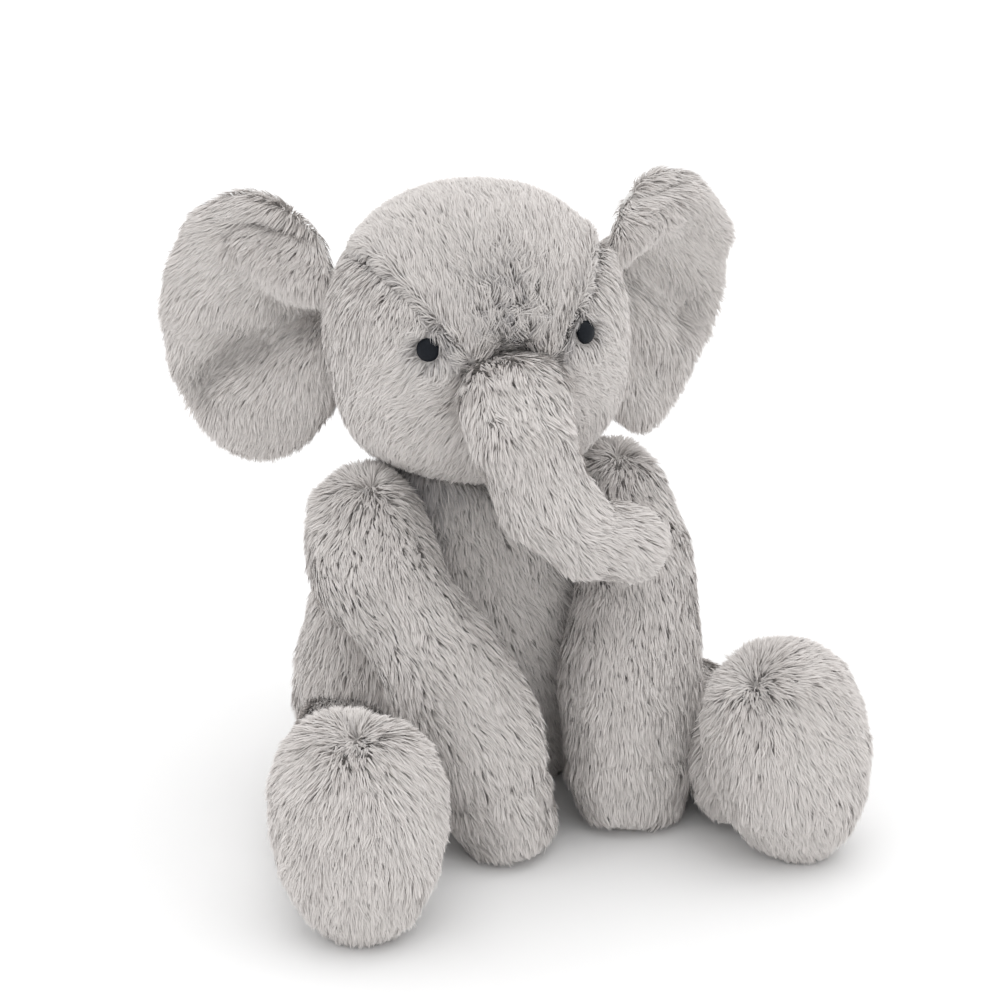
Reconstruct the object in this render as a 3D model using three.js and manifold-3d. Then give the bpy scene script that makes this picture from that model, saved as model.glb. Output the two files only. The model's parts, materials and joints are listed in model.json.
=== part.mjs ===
// A seated stuffed elephant, put together as the toy is made: fur-fabric panels sewn into
// skins, fibre fillings pushed into them, bead bags that weigh the seat, feet and paws down,
// locking eyes with their washers, and the thread that closes the neck.
// Millimetres, +Z up. The elephant faces -Y and its own left side is +X.
// The origin is the middle of the flat seat face, on the surface that the toy sits on.

import * as THREE from 'three';
import { mergeVertices } from 'three/addons/utils/BufferGeometryUtils.js';
import Module from 'manifold-3d';

const wasm = await Module();
wasm.setup();

// ---------- Driving sizes ----------

const SKIN = 1.3;             // thickness of the fur fabric's backing
const FIT = 0.4;              // clearance between a skin, its filling and its neighbours
const SEAM = 0.3;             // gap along a seam between two panels
const BALL_SEAT = 2;          // clearance round the rounded root of a limb in its dish
const PRESS_GAP = 0.6;        // clearance where a limb or the neck thread presses a dent in the torso

const TORSO_HALF_WIDTH = 80;
const TORSO_HALF_DEPTH = 50;
const TORSO_HEIGHT = 161;
const SEAT_PANEL_RADIUS = 42;
const TORSO_PROFILE = [       // shares of the half width and of the height, from the seat up
  [0.62, 0], [0.9, 0.07], [1, 0.26], [0.92, 0.52], [0.64, 0.77], [0.48, 0.96],
];

const HEAD_RADIUS = 62;
const NECK_SINK = 14;         // how deep the head is sunk into the top of the torso
const HEAD_CENTRE_HEIGHT = TORSO_HEIGHT + HEAD_RADIUS - NECK_SINK;
const HEAD_FORWARD = 14;      // how far the head's centre sits in front of the seat's middle
const HEAD_TURN = -8.5;       // degrees, the head looks a little to the toy's right
const NECK_OPENING_RADIUS = 26;
const NECK_OPENING_DROP = 20; // how far below the head the opening runs through the torso's top
const NECK_OPENING_RISE = 12; // how far up into the head its opening runs
const NECK_THREAD_RADIUS = 1;
const NECK_THREAD_RISE = 1.2; // how high the thread's middle lies above the rim of the torso's top
const GUSSET_CORNER = { x: 29, y: -52, z: 17 }; // where a gusset seam passes above an eye
const GUSSET_NORMAL = { x: 0.86, y: 0.18, z: 0.48 };

const TRUNK_ROOT_RADIUS = 20;
const TRUNK_ROOT_FORWARD = 4; // how far in front of the head's surface the root's middle is
const TRUNK_ROOT_RISE = -6;
const TRUNK_TIP_RADIUS = 12;
const TRUNK_TIP_LENGTH = 10;
const TRUNK_WAY = [           // the middle line from the root to the tip: across, back, up
  [0, 0, 0], [-0.5, -16.4, -26], [15.5, -19.4, -55], [32.5, -19.4, -65], [46.5, -16.4, -68],
];

const EAR_HALF_WIDTH = 39;
const EAR_HALF_HEIGHT = 56;
const EAR_HALF_THICKNESS = 7;
const EAR_SWEEP = 28;         // degrees, how far the ears point backwards
const EAR_CUP = 5;            // how far the rim stands in front of the middle
const EAR_TUCK = 2;           // how far the round outline reaches in behind the head's side
const EAR_BACK = -4;
const EAR_RISE = -2;
const EAR_GAP = 2.6;          // room for the ear to flap beside the head

const ARM_ROOT_RADIUS = 20;
const ARM_PAW_RADIUS = 22;
const SHOULDER_HALF_SPAN = 57;
const SHOULDER_FORWARD = 29;
const SHOULDER_DROP = 27;     // below the top of the torso
const SHOULDER_HEIGHT = TORSO_HEIGHT - SHOULDER_DROP;
const ARM_WAY = {             // from the shoulder: inwards, forwards, share of the shoulder's height
  left: [[-2, 27, 0.76], [7, 43, 0.51], [13, 55, 0.187]],
  right: [[5, 31, 0.79], [22, 47, 0.57], [36, 60, 0.2]],
};
const ARM_SECTIONS = {        // half widths and half thicknesses below the root
  left: [[22, 20], [25, 20], [ARM_PAW_RADIUS + 4, ARM_PAW_RADIUS]],
  right: [[20, 20], [21, 20], [ARM_PAW_RADIUS + 1, ARM_PAW_RADIUS]],
};
const PAW_TIP_LENGTH = { left: 26, right: 28 };

const LEG_ROOT_RADIUS = 24;
const LEG_ANKLE_RADIUS = 21;
const HIP_HALF_SPAN = 62;
const HIP_FORWARD = 22;
const HIP_HEIGHT = 30;
const HIP_SWING_ROOM = 2;     // more room in the hip dish, for the leg to lift
const KNEE_HALF_SPAN = { left: 95, right: 84 }; // the left paw pushes the left knee out
const KNEE_FORWARD = 56;
const KNEE_HEIGHT = 26;
const ANKLE_HEIGHT = 32;
const ANKLE_SINK = 5;         // how far the leg's middle line runs into the foot
const LEG_TIP_LENGTH = 18;
const LEG_SEAM_TURN = 18;     // degrees, how far the leg's side seams point backwards
const FOOT_HALF_WIDTH = 33.5;
const FOOT_HALF_HEIGHT = 46;
const FOOT_HALF_THICKNESS = 27;
const FOOT_FORWARD = { left: 134, right: 126 };
const FOOT_HALF_SPAN = 96;
const FOOT_TURN_OUT = 20;     // degrees, how far the soles turn outwards
const FOOT_LEAN = 12;         // degrees, how far the toes lean back
const FOOT_NARROWING = 0.14;
const FOOT_PRESS = 2;         // how much of the foot's height the floor presses flat
const SOLE_SEAM = 0.3;        // how far forward the sole's seam lies, as a share of half the thickness

const SEAT_BAG_RADIUS = 32;
const SEAT_BAG_HEIGHT = -4;
const PAW_BAG_RADIUS = 16;
const PAW_BAG_DROP = 14;
const FOOT_BAG_RADIUS = 20;
const FOOT_BAG_HEIGHT = 4;
const FOOT_BAG_BACK = 4;

const TAIL_RADIUS = 6;
const TAIL_LENGTH = 46;
const TAIL_HEIGHT = 46;       // of its root
const TAIL_TIP_LENGTH = 9;

const EYE_RADIUS = 4.8;
const EYE_DOME = 3.2;
const EYE_HALF_SPAN = 31.9;
const EYE_RISE = { left: 10.6, right: 8 }; // the face leans a little
const EYE_STEM_RADIUS = 1.6;
const EYE_STEM_LENGTH = 9;
const WASHER_RADIUS = 5.5;
const WASHER_THICKNESS = 1.2;
const WASHER_FROM_END = 3;    // how far from the stem's end the washer stops

const LIMB_SIDES = 10;        // facets round a limb
const CAP_ROWS = 2;           // rows of facets over a limb's rounded end
const BODY_ROWS = 4;          // rows of facets along a limb
const BIG_SIDES = 18;         // facets round the head and the torso
const BIG_ROWS = 10;
const PROFILE_ROWS = 8;       // rows of facets up the side of the torso
const DISH_SIDES = 12;        // facets round a limb's dish
const TAIL_DISH_SIDES = 8;
const SMALL_SIDES = 12;       // facets round an eye and its washer
const HOLE_SIDES = 8;
const DOME_ROWS = 3;
const BALL_ROWS = 0.7;        // rows of facets down a ball, as a share of those round it
const OVERCUT = 1;            // how far a cut runs past the skin
const FAR = 400;              // half a side of the blocks that panels are cut with

// ---------- Materials ----------

const fur = new THREE.MeshStandardMaterial({ color: '#b7b3b0', roughness: 0.95, metalness: 0 });
const fibre = new THREE.MeshStandardMaterial({ color: '#ecebe6', roughness: 1, metalness: 0 });
const beadCloth = new THREE.MeshStandardMaterial({ color: '#d9d5cc', roughness: 0.9, metalness: 0 });
const eyePlastic = new THREE.MeshStandardMaterial({ color: '#1c2128', roughness: 0.45, metalness: 0 });
const washerPlastic = new THREE.MeshStandardMaterial({ color: '#e6e8ea', roughness: 0.4, metalness: 0 });
const thread = new THREE.MeshStandardMaterial({ color: '#a7a3a0', roughness: 0.8, metalness: 0 });

// ---------- Solids ----------

const vec = (x, y, z) => new THREE.Vector3(x, y, z);
const rad = THREE.MathUtils.degToRad;

/** A closed three.js geometry as a solid that can be joined and cut. */
function solidOf(geometry) {
  const bare = geometry.clone();
  bare.deleteAttribute('normal');
  bare.deleteAttribute('uv');
  const merged = mergeVertices(bare, 1e-3);
  const corners = merged.index.array;
  const kept = [];
  for (let i = 0; i < corners.length; i += 3) {
    const [a, b, c] = [corners[i], corners[i + 1], corners[i + 2]];
    if (a !== b && b !== c && c !== a) {
      kept.push(a, b, c);
    }
  }
  const vertProperties = Float32Array.from(merged.attributes.position.array);
  return new wasm.Manifold(new wasm.Mesh({ numProp: 3, vertProperties, triVerts: Uint32Array.from(kept) }));
}

/** A solid back as a three.js geometry. */
function geometryOf(solid) {
  const mesh = solid.getMesh();
  const geometry = new THREE.BufferGeometry();
  geometry.setAttribute('position', new THREE.BufferAttribute(mesh.vertProperties, 3));
  geometry.setIndex(new THREE.BufferAttribute(mesh.triVerts, 1));
  geometry.computeVertexNormals();
  return geometry;
}

/** A named sub-part. */
function piece(name, solid, material) {
  const mesh = new THREE.Mesh(geometryOf(solid), material);
  mesh.name = name;
  return mesh;
}

/** A ball about a point. */
function ball(centre, radius, sides = LIMB_SIDES) {
  const geometry = new THREE.SphereGeometry(radius, sides, Math.round(sides * BALL_ROWS));
  return solidOf(geometry.translate(centre.x, centre.y, centre.z));
}

/** Everything on the side of a plane that its normal points to. */
function beyond(point, normal) {
  const geometry = new THREE.BoxGeometry(2 * FAR, 2 * FAR, 2 * FAR).translate(0, 0, FAR);
  const turn = new THREE.Quaternion().setFromUnitVectors(vec(0, 0, 1), normal.clone().normalize());
  return solidOf(geometry.applyQuaternion(turn).translate(point.x, point.y, point.z));
}

/** The part of a shell on each side of a seam plane, with the seam's gap between them. */
function splitAt(shell, point, normal) {
  const step = normal.clone().setLength(SEAM / 2);
  const front = shell.intersect(beyond(point.clone().add(step), normal));
  const back = shell.intersect(beyond(point.clone().sub(step), normal.clone().negate()));
  return [front, back];
}

/** Moves every corner of a unit sphere, whose poles are on its Y axis, to where place says. */
function shaped(sides, rows, place) {
  const geometry = new THREE.SphereGeometry(1, sides, rows);
  const position = geometry.attributes.position;
  for (let i = 0; i < position.count; i += 1) {
    const corner = vec(position.getX(i), position.getY(i), position.getZ(i));
    const row = Math.round((Math.acos(THREE.MathUtils.clamp(corner.y, -1, 1)) / Math.PI) * rows);
    const pole = row === 0 || row === rows;
    const round = Math.atan2(corner.z, corner.x);
    const moved = place(corner, row, pole ? 0 : Math.cos(round), pole ? 0 : Math.sin(round));
    position.setXYZ(i, moved.x, moved.y, moved.z);
  }
  return geometry;
}

/** A limb: a rounded root about the first point of its spine, then its sections, then its tip. */
function limb({ spine, radii, tipLength, wide = vec(1, 0, 0), rests = false }, inset) {
  const curve = new THREE.CatmullRomCurve3(spine);
  const sections = new THREE.SplineCurve(radii.map(([across, thick]) => new THREE.Vector2(across, thick)));
  const rows = 2 * CAP_ROWS + BODY_ROWS;
  const geometry = shaped(LIMB_SIDES, rows, (corner, row, along, over) => {
    const t = THREE.MathUtils.clamp((row - CAP_ROWS) / BODY_ROWS, 0, 1);
    const tangent = curve.getTangentAt(t);
    const across = wide.clone().addScaledVector(tangent, -wide.dot(tangent)).normalize();
    const thick = tangent.clone().cross(across);
    const section = sections.getPoint(t);
    const centre = curve.getPointAt(t);
    let reach = 1;
    if (row < CAP_ROWS) {
      const angle = (row / CAP_ROWS) * (Math.PI / 2);
      reach = Math.sin(angle);
      centre.addScaledVector(tangent, -Math.cos(angle) * (section.x - inset));
    }
    if (row > CAP_ROWS + BODY_ROWS) {
      const angle = ((rows - row) / CAP_ROWS) * (Math.PI / 2);
      reach = Math.sin(angle);
      centre.addScaledVector(tangent, Math.cos(angle) * (tipLength - inset));
    }
    centre.addScaledVector(across, along * reach * (section.x - inset));
    centre.addScaledVector(thick, over * reach * (section.y - inset));
    if (rests) {
      centre.z = Math.max(centre.z, inset);
    }
    return centre;
  });
  return solidOf(geometry);
}

/** A skin's shell and the filling inside it, from a function that gives the form at an inset. */
function skinAndFilling(form) {
  return {
    shell: form(0).subtract(form(SKIN)),
    filling: form(SKIN + FIT),
  };
}

/** Takes a bag of beads out of a filling: the part of it inside a ball. */
function withBeads(filling, centre, radius) {
  return {
    bag: filling.intersect(ball(centre, radius)),
    rest: filling.subtract(ball(centre, radius + FIT)),
  };
}

// ---------- Where things are ----------

const sides = [['left', 1], ['right', -1]];
const headCentre = vec(0, -HEAD_FORWARD, HEAD_CENTRE_HEIGHT);
const headTurn = new THREE.Quaternion().setFromAxisAngle(vec(0, 0, 1), rad(HEAD_TURN));

/** A point of the face, given from the head's centre with the face towards -Y, in the toy's frame. */
const onHead = (x, y, z) => vec(x, y, z).applyQuaternion(headTurn).add(headCentre);

const shoulder = (side) => vec(side * SHOULDER_HALF_SPAN, -SHOULDER_FORWARD, SHOULDER_HEIGHT);
const hip = (side) => vec(side * HIP_HALF_SPAN, -HIP_FORWARD, HIP_HEIGHT);
const trunkRoot = onHead(0, -(HEAD_RADIUS + TRUNK_ROOT_FORWARD), TRUNK_ROOT_RISE);
const tailRoot = vec(0, TORSO_HALF_DEPTH - OVERCUT, TAIL_HEIGHT);
const nameOf = (side) => (side > 0 ? 'left' : 'right');
const footMiddle = (side) => (
  vec(side * FOOT_HALF_SPAN, -FOOT_FORWARD[nameOf(side)], FOOT_HALF_HEIGHT - FOOT_PRESS)
);

/** How a foot is turned: leaning back first, then outwards. */
const footPose = (side) => new THREE.Quaternion().setFromEuler(
  new THREE.Euler(-rad(FOOT_LEAN), 0, side * rad(FOOT_TURN_OUT), 'ZYX'),
);

/** Where an eye sits on the head, and the way it looks. */
function eyePlace(side) {
  const rise = EYE_RISE[nameOf(side)];
  const forward = Math.sqrt(HEAD_RADIUS ** 2 - EYE_HALF_SPAN ** 2 - rise ** 2);
  const local = vec(side * EYE_HALF_SPAN, -forward, rise);
  return [onHead(local.x, local.y, local.z), local.clone().normalize().applyQuaternion(headTurn)];
}

/** The middle of an ear, and the ways it points outwards and forwards. */
function earPlace(side) {
  const sweep = rad(EAR_SWEEP);
  const outwards = vec(side * Math.cos(sweep), Math.sin(sweep), 0);
  const forwards = vec(side * Math.sin(sweep), -Math.cos(sweep), 0);
  const local = outwards.clone().multiplyScalar(HEAD_RADIUS + EAR_HALF_WIDTH - EAR_TUCK);
  const middle = onHead(local.x, local.y + EAR_BACK, local.z + EAR_RISE);
  outwards.applyQuaternion(headTurn);
  forwards.applyQuaternion(headTurn);
  return { middle, outwards, forwards };
}

/** The normal of the plane that a curved spine lies in, facing forwards. */
function spineNormal(first, middle, last) {
  const normal = middle.clone().sub(first).cross(last.clone().sub(first)).normalize();
  return normal.y > 0 ? normal.negate() : normal;
}

/** An arm's limb: its middle line starts at the shoulder. */
function armLimb(name, side) {
  const below = ARM_WAY[name].map(([inwards, forwards, share]) => (
    shoulder(side).add(vec(-side * inwards, -forwards, (share - 1) * SHOULDER_HEIGHT))
  ));
  return {
    spine: [shoulder(side), ...below],
    radii: [[ARM_ROOT_RADIUS, ARM_ROOT_RADIUS], ...ARM_SECTIONS[name]],
    tipLength: PAW_TIP_LENGTH[name],
    rests: true,
  };
}

const arms = { left: armLimb('left', 1), right: armLimb('right', -1) };

const trunk = {
  spine: TRUNK_WAY.map(([across, back, up]) => trunkRoot.clone().add(vec(across, back, up))),
  radii: [
    [TRUNK_ROOT_RADIUS, TRUNK_ROOT_RADIUS], [18, 18], [16, 15.5], [14, 13.5],
    [TRUNK_TIP_RADIUS, TRUNK_TIP_RADIUS],
  ],
  tipLength: TRUNK_TIP_LENGTH,
  wide: vec(0.5, 0, 0.87),
};

const tail = {
  spine: [
    tailRoot,
    tailRoot.clone().add(vec(0, 13, -8)),
    tailRoot.clone().add(vec(0, 17, TAIL_RADIUS * 2 - TAIL_LENGTH)),
  ],
  radii: [[TAIL_RADIUS, TAIL_RADIUS], [TAIL_RADIUS - 1, TAIL_RADIUS - 1], [TAIL_RADIUS, TAIL_RADIUS]],
  tipLength: TAIL_TIP_LENGTH,
};

const leg = (side) => ({
  spine: [
    hip(side),
    vec(side * KNEE_HALF_SPAN[nameOf(side)], -KNEE_FORWARD, KNEE_HEIGHT),
    vec(side * FOOT_HALF_SPAN, FOOT_HALF_THICKNESS - ANKLE_SINK - FOOT_FORWARD[nameOf(side)], ANKLE_HEIGHT),
  ],
  radii: [
    [LEG_ROOT_RADIUS, LEG_ROOT_RADIUS],
    [LEG_ANKLE_RADIUS + 1, LEG_ANKLE_RADIUS + 1],
    [LEG_ANKLE_RADIUS, LEG_ANKLE_RADIUS],
  ],
  tipLength: LEG_TIP_LENGTH,
  rests: true,
});

// ---------- Forms ----------

/** The ring of thread round the neck, fatter by a given room. */
function neckThread(room = 0) {
  const reach = HEAD_RADIUS + BALL_SEAT + NECK_THREAD_RADIUS + FIT;
  const drop = headCentre.z - TORSO_PROFILE.at(-1)[1] * TORSO_HEIGHT - NECK_THREAD_RISE;
  const radius = Math.sqrt(reach ** 2 - drop ** 2);
  const ring = new THREE.TorusGeometry(radius, NECK_THREAD_RADIUS + room, 5, BIG_SIDES);
  return solidOf(ring.translate(headCentre.x, headCentre.y, headCentre.z - drop));
}

/** The pear-shaped torso, flat where it sits, with dishes for the head, arms, legs and tail, and
    dented where the arms, the legs and the neck thread press on it. */
function torsoForm(inset) {
  const profile = new THREE.SplineCurve(TORSO_PROFILE.map(([across, up]) => (
    new THREE.Vector2(across * TORSO_HALF_WIDTH, up * TORSO_HEIGHT)
  )));
  const outline = [new THREE.Vector2(0, inset)];
  for (let i = 0; i <= PROFILE_ROWS; i += 1) {
    const tangent = profile.getTangent(i / PROFILE_ROWS);
    const point = profile.getPoint(i / PROFILE_ROWS);
    point.add(new THREE.Vector2(-tangent.y, tangent.x).multiplyScalar(inset));
    outline.push(new THREE.Vector2(point.x, i === 0 ? inset : Math.max(point.y, inset + SEAM)));
  }
  outline.push(new THREE.Vector2(0, TORSO_HEIGHT - inset));
  const lathe = new THREE.LatheGeometry(outline, BIG_SIDES).rotateX(Math.PI / 2);
  lathe.scale(1, TORSO_HALF_DEPTH / TORSO_HALF_WIDTH, 1);
  const position = lathe.attributes.position;
  for (let i = 0; i < position.count; i += 1) {
    const lean = (position.getZ(i) / TORSO_HEIGHT) ** 2;
    position.setY(i, position.getY(i) - HEAD_FORWARD * lean);
  }
  let form = solidOf(lathe);
  const dishes = [
    [headCentre, HEAD_RADIUS, BIG_SIDES + 2],
    [shoulder(1), ARM_ROOT_RADIUS, DISH_SIDES],
    [shoulder(-1), ARM_ROOT_RADIUS, DISH_SIDES],
    [hip(1), LEG_ROOT_RADIUS + HIP_SWING_ROOM, DISH_SIDES],
    [hip(-1), LEG_ROOT_RADIUS + HIP_SWING_ROOM, DISH_SIDES],
    [tailRoot, TAIL_RADIUS, TAIL_DISH_SIDES],
  ];
  for (const [centre, radius, facets] of dishes) {
    form = form.subtract(ball(centre, radius + BALL_SEAT + inset, facets));
  }
  for (const pressing of [arms.left, arms.right, leg(1), leg(-1)]) {
    form = form.subtract(limb(pressing, -PRESS_GAP - inset));
  }
  return form.subtract(neckThread(PRESS_GAP + inset));
}

/** The round head, with a dish where the trunk is sewn on. */
function headForm(inset) {
  const round = solidOf(
    new THREE.SphereGeometry(HEAD_RADIUS - inset, BIG_SIDES, BIG_ROWS)
      .rotateX(Math.PI / 2)
      .translate(headCentre.x, headCentre.y, headCentre.z),
  );
  return round.subtract(ball(trunkRoot, TRUNK_ROOT_RADIUS + BALL_SEAT + inset, DISH_SIDES));
}

/** One cupped ear: a round pad whose inner edge follows the head. */
function earForm(side, inset) {
  const { middle, outwards, forwards } = earPlace(side);
  const geometry = shaped(LIMB_SIDES + 4, 6, (corner) => {
    const rim = Math.hypot(corner.x, corner.z);
    const through = corner.y * (EAR_HALF_THICKNESS - inset) + EAR_CUP * rim * rim;
    return middle.clone()
      .addScaledVector(outwards, side * corner.x * (EAR_HALF_WIDTH - inset))
      .addScaledVector(forwards, through)
      .add(vec(0, 0, -corner.z * (EAR_HALF_HEIGHT - inset)));
  });
  return solidOf(geometry).subtract(ball(headCentre, HEAD_RADIUS + EAR_GAP + inset, BIG_SIDES));
}

/** A foot: an egg, narrower below, turned out, leaning back, and flat where it rests. */
function footForm(side, inset) {
  const geometry = shaped(LIMB_SIDES, 8, (corner) => vec(
    corner.x * (FOOT_HALF_WIDTH - inset) * (1 + FOOT_NARROWING * corner.y),
    -corner.z * (FOOT_HALF_THICKNESS - inset),
    corner.y * (FOOT_HALF_HEIGHT - inset),
  ));
  geometry.applyQuaternion(footPose(side));
  const middle = footMiddle(side);
  geometry.translate(middle.x, middle.y, middle.z);
  const position = geometry.attributes.position;
  for (let i = 0; i < position.count; i += 1) {
    position.setZ(i, Math.max(position.getZ(i), inset));
  }
  return solidOf(geometry);
}

/** A leg with its foot. */
const legForm = (side, inset) => limb(leg(side), inset).add(footForm(side, inset));

/** A flat-ended round bar, ring or dome about an axis through a point: its half outline, turned. */
function turned(outline, point, axis, facets = SMALL_SIDES) {
  const geometry = new THREE.LatheGeometry(outline.map(([r, h]) => new THREE.Vector2(r, h)), facets);
  geometry.applyQuaternion(new THREE.Quaternion().setFromUnitVectors(vec(0, 1, 0), axis));
  return solidOf(geometry.translate(point.x, point.y, point.z));
}

/** A bar from one height to another along an axis through a point. */
const bar = (radius, low, high, point, axis, facets) => turned(
  [[0, low], [radius, low], [radius, high], [0, high]], point, axis, facets,
);

// ---------- Sub-parts ----------

/** The seat panel, the front and back panels, the filling and the bead bag of the torso. */
function torsoPieces() {
  const { shell, filling } = skinAndFilling(torsoForm);
  const up = vec(0, 0, 1);
  const origin = vec(0, 0, 0);
  const neck = bar(NECK_OPENING_RADIUS, HEAD_CENTRE_HEIGHT - HEAD_RADIUS - NECK_OPENING_DROP,
    HEAD_CENTRE_HEIGHT, vec(0, -HEAD_FORWARD, 0), up, BIG_SIDES);
  const seat = (radius) => bar(radius, -OVERCUT, SKIN + OVERCUT, origin, up, BIG_SIDES);
  const seatPanel = shell.intersect(seat(SEAT_PANEL_RADIUS));
  const wrap = shell.subtract(seat(SEAT_PANEL_RADIUS + SEAM)).subtract(neck);
  const [back, front] = splitAt(wrap, origin, vec(0, 1, 0));
  const { bag, rest } = withBeads(filling, vec(0, 0, SEAT_BAG_HEIGHT), SEAT_BAG_RADIUS);
  return [
    piece('seat_panel', seatPanel, fur),
    piece('torso_front_panel', front, fur),
    piece('torso_back_panel', back, fur),
    piece('torso_filling', rest, fibre),
    piece('seat_bead_bag', bag, beadCloth),
  ];
}

/** The thread that closes the neck, lying round it between the head and the torso. */
function neckPieces() {
  return [piece('neck_thread', neckThread(), thread)];
}

/** The forehead gusset, the two cheeks and the filling of the head, with room for the eyes. */
function headPieces() {
  const { shell, filling } = skinAndFilling(headForm);
  const neck = bar(NECK_OPENING_RADIUS, -HEAD_RADIUS - OVERCUT, NECK_OPENING_RISE - HEAD_RADIUS,
    headCentre, vec(0, 0, 1), BIG_SIDES);
  let skin = shell.subtract(neck);
  let stuffing = filling;
  for (const [, side] of sides) {
    const [point, axis] = eyePlace(side);
    skin = skin.subtract(bar(EYE_STEM_RADIUS + FIT, -EYE_STEM_LENGTH, EYE_DOME, point, axis, HOLE_SIDES));
    stuffing = stuffing.subtract(bar(WASHER_RADIUS + FIT, -EYE_STEM_LENGTH - FIT, EYE_DOME, point, axis));
  }
  const meets = onHead(0, 0, 0);
  const normal = (side) => (
    vec(-GUSSET_NORMAL.x * side, GUSSET_NORMAL.y, GUSSET_NORMAL.z).applyQuaternion(headTurn)
  );
  const corner = (side) => onHead(side * GUSSET_CORNER.x, GUSSET_CORNER.y, GUSSET_CORNER.z);
  const [aboveLeft, belowLeft] = splitAt(skin, corner(1), normal(1));
  const [gusset] = splitAt(aboveLeft, corner(-1), normal(-1));
  const [, belowRight] = splitAt(skin, corner(-1), normal(-1));
  const middle = vec(1, 0, 0).applyQuaternion(headTurn);
  const [leftCheek] = splitAt(belowLeft, meets, middle);
  const [, rightCheek] = splitAt(belowRight, meets, middle);
  return [
    piece('head_gusset', gusset, fur),
    piece('head_cheek_left', leftCheek, fur),
    piece('head_cheek_right', rightCheek, fur),
    piece('head_filling', stuffing, fibre),
  ];
}

/** A locking eye on its stem, and the washer that holds it inside the skin. */
function eyePieces(name, side) {
  const [point, axis] = eyePlace(side);
  const dome = [
    [0, -EYE_STEM_LENGTH], [EYE_STEM_RADIUS, -EYE_STEM_LENGTH], [EYE_STEM_RADIUS, FIT], [EYE_RADIUS, FIT],
  ];
  for (let row = 1; row <= DOME_ROWS; row += 1) {
    const angle = (row / DOME_ROWS) * (Math.PI / 2);
    const radius = row === DOME_ROWS ? 0 : EYE_RADIUS * Math.cos(angle);
    dome.push([radius, FIT + EYE_DOME * Math.sin(angle)]);
  }
  const hole = EYE_STEM_RADIUS + SEAM;
  const top = WASHER_THICKNESS + WASHER_FROM_END - EYE_STEM_LENGTH;
  const washer = turned([
    [hole, top - WASHER_THICKNESS], [WASHER_RADIUS, top - WASHER_THICKNESS],
    [WASHER_RADIUS, top], [hole, top], [hole, top - WASHER_THICKNESS],
  ], point, axis);
  return [
    piece(`eye_${name}`, turned(dome, point, axis), eyePlastic),
    piece(`eye_washer_${name}`, washer, washerPlastic),
  ];
}

/** The upper and under panels of the trunk, and its filling. */
function trunkPieces() {
  const { shell, filling } = skinAndFilling((inset) => limb(trunk, inset));
  const [first, , middle, , last] = trunk.spine;
  const [upper, under] = splitAt(shell, middle, spineNormal(first, middle, last));
  return [
    piece('trunk_upper_panel', upper, fur),
    piece('trunk_under_panel', under, fur),
    piece('trunk_filling', filling, fibre),
  ];
}

/** The front and back panels of an ear, and the wadding between them. */
function earPieces(name, side) {
  const { shell, filling } = skinAndFilling((inset) => earForm(side, inset));
  const { forwards, middle } = earPlace(side);
  const [front, back] = splitAt(shell, middle.clone().addScaledVector(forwards, EAR_CUP / 2), forwards);
  return [
    piece(`ear_${name}_front_panel`, front, fur),
    piece(`ear_${name}_back_panel`, back, fur),
    piece(`ear_${name}_wadding`, filling, fibre),
  ];
}

/** The outer and inner panels of an arm, its filling, and the bead bag in its paw. */
function armPieces(name, side) {
  const arm = arms[name];
  const { shell, filling } = skinAndFilling((inset) => limb(arm, inset));
  const paw = arm.spine.at(-1);
  const chord = paw.clone().sub(arm.spine[0]).normalize();
  const outwards = vec(side, 0, 0).addScaledVector(chord, -side * chord.x).normalize();
  const middle = arm.spine[0].clone().add(paw).multiplyScalar(0.5);
  const [outer, inner] = splitAt(shell, middle, outwards);
  const { bag, rest } = withBeads(filling, vec(paw.x, paw.y, paw.z - PAW_BAG_DROP), PAW_BAG_RADIUS);
  return [
    piece(`arm_${name}_outer_panel`, outer, fur),
    piece(`arm_${name}_inner_panel`, inner, fur),
    piece(`arm_${name}_filling`, rest, fibre),
    piece(`paw_${name}_bead_bag`, bag, beadCloth),
  ];
}

/** The outer and inner panels of a leg, its sole, its filling, and the bead bag in its foot. */
function legPieces(name, side) {
  const { shell, filling } = skinAndFilling((inset) => legForm(side, inset));
  const forwards = vec(0, -1, 0).applyQuaternion(footPose(side));
  const soleEdge = footMiddle(side).addScaledVector(forwards, FOOT_HALF_THICKNESS * SOLE_SEAM);
  const [sole, wrap] = splitAt(shell, soleEdge, forwards);
  const outwards = vec(side * Math.cos(rad(LEG_SEAM_TURN)), Math.sin(rad(LEG_SEAM_TURN)), 0);
  const [outer, inner] = splitAt(wrap, leg(side).spine[1], outwards);
  const foot = footMiddle(side);
  const beads = vec(foot.x, foot.y + FOOT_BAG_BACK, FOOT_BAG_HEIGHT);
  const { bag, rest } = withBeads(filling, beads, FOOT_BAG_RADIUS);
  return [
    piece(`sole_${name}`, sole, fur),
    piece(`leg_${name}_outer_panel`, outer, fur),
    piece(`leg_${name}_inner_panel`, inner, fur),
    piece(`leg_${name}_filling`, rest, fibre),
    piece(`foot_${name}_bead_bag`, bag, beadCloth),
  ];
}

/** The tail: one rolled and sewn strip. */
const tailPieces = () => [piece('tail', limb(tail, 0), fur)];

// ---------- The elephant ----------

const elephant = new THREE.Group();
elephant.add(...torsoPieces(), ...neckPieces(), ...headPieces(), ...trunkPieces(), ...tailPieces());
for (const [name, side] of sides) {
  elephant.add(...eyePieces(name, side), ...earPieces(name, side));
  elephant.add(...armPieces(name, side), ...legPieces(name, side));
}

export default elephant;
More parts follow.
